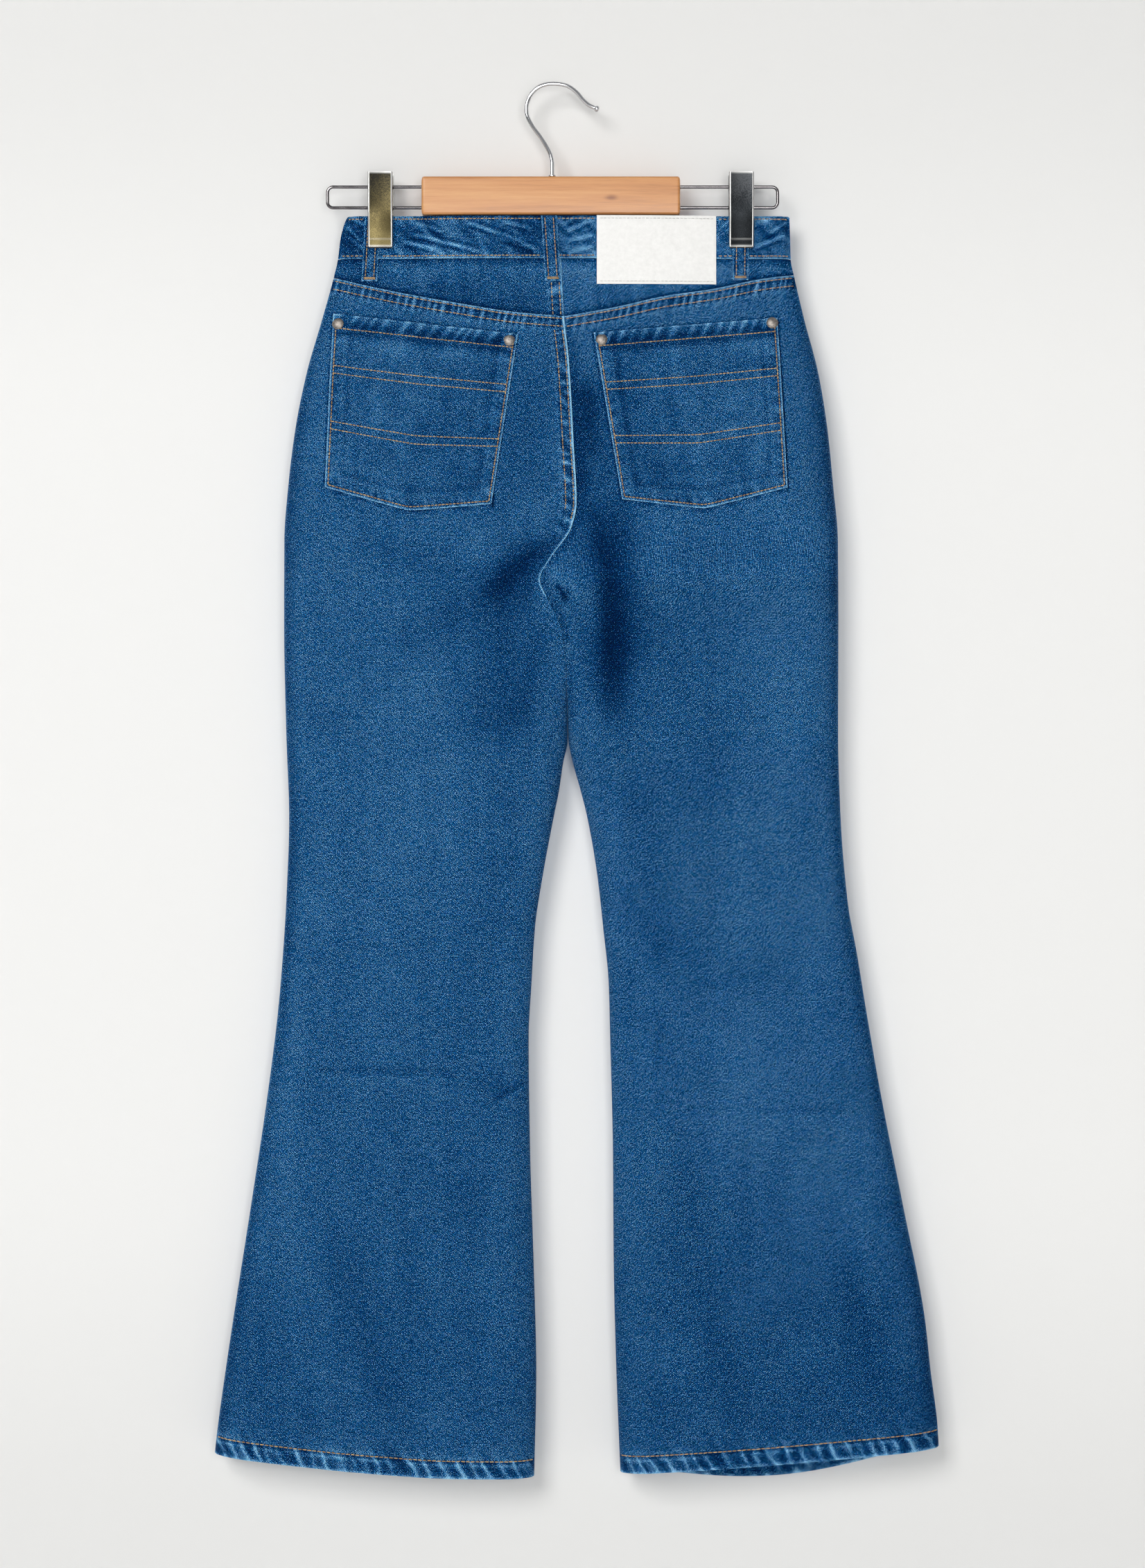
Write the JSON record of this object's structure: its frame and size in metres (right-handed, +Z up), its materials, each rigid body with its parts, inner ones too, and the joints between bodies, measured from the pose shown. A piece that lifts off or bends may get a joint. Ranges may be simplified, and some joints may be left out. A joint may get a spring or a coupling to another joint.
{
  "type": "flared jeans on a clip hanger",
  "caption": "Flared denim jeans hung flat by the waistband from a wooden clip hanger with a wire frame and a round hook.",
  "frame": {"origin": "inside of the top of the hook, where a rail or a wall hook holds it", "axes": "+Z up, +X to the right as the back of the jeans is seen, the back of the jeans faces -Y"},
  "size_m": [0.585, 0.0451, 1.1275],
  "materials": {
    "denim": "stone-washed blue denim",
    "dark_denim": "less worn blue denim",
    "label": "bare white patch",
    "aged_metal": "aged dark metal",
    "chrome": "bright chrome",
    "wood": "clear-varnished light wood"
  },
  "bodies": {
    "root": {"back_panel_left": "denim", "back_panel_right": "denim", "front_panel_left": "denim", "front_panel_right": "denim", "yoke_left": "denim", "yoke_right": "denim", "waistband": "denim", "back_pocket_left": "denim", "back_pocket_right": "denim", "front_pocket_facing_left": "dark_denim", "front_pocket_facing_right": "dark_denim", "fly": "denim", "belt_loop_centre_back": "denim", "belt_loop_back_left": "denim", "belt_loop_back_right": "denim", "belt_loop_front_left": "denim", "belt_loop_front_right": "denim", "label_patch": "label", "rivet_left_outer": "aged_metal", "rivet_left_inner": "aged_metal", "rivet_right_inner": "aged_metal", "rivet_right_outer": "aged_metal", "waist_button": "aged_metal", "hanger_bar": "wood", "hanger_hook": "chrome", "hanger_wire_left": "chrome", "hanger_wire_right": "chrome", "clip_jaw_back_left": "chrome", "clip_jaw_back_right": "chrome", "clip_jaw_front_left": "chrome", "clip_jaw_front_right": "chrome", "clip_core_left": "chrome", "clip_core_right": "chrome"}
  },
  "joints": []
}
